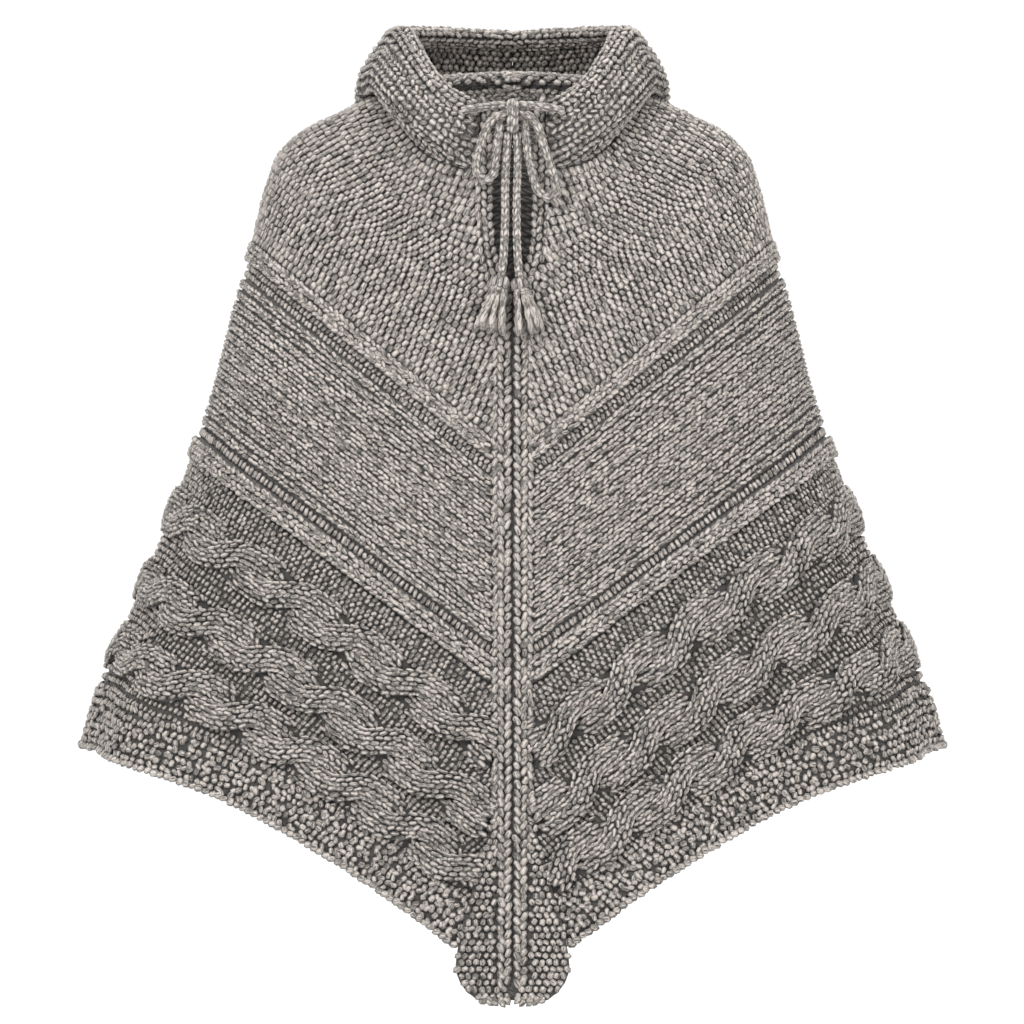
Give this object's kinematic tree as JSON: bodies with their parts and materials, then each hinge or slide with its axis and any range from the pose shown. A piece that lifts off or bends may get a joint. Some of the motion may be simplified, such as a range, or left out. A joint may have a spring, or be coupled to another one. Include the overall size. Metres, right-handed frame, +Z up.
{
  "type": "knitted poncho sweater",
  "caption": "Chunky marled grey knitted poncho sweater with diagonal ribs and cables, a centre rib band, a laid-back hood and a tied drawstring with tassels.",
  "frame": {"origin": "middle of the neck, where the neck line and shoulders of the garment rest on the wearer", "axes": "+Z up, -Y the garment's front, +X the wearer's left"},
  "size_m": [0.8026, 0.4453, 0.9042],
  "materials": {
    "knit": "matte marled chunky wool knit",
    "cord": "matte marled wool cord"
  },
  "bodies": {
    "root": {"yoke_right": "knit", "upper_rib_right": "knit", "plain_band_right": "knit", "lower_rib_right": "knit", "cable_panel_right": "knit", "hem_border_right": "knit", "slit_band_right": "knit", "hood_right": "knit", "yoke_left": "knit", "upper_rib_left": "knit", "plain_band_left": "knit", "lower_rib_left": "knit", "cable_panel_left": "knit", "hem_border_left": "knit", "slit_band_left": "knit", "hood_left": "knit", "centre_front_band": "knit", "hood_casing": "knit", "cord_run_right": "cord", "cord_loop_right": "cord", "cord_tail_right": "cord", "cord_run_left": "cord", "cord_loop_left": "cord", "cord_tail_left": "cord", "bow_knot": "cord", "tassel_right": "cord", "tassel_left": "cord"}
  },
  "joints": []
}
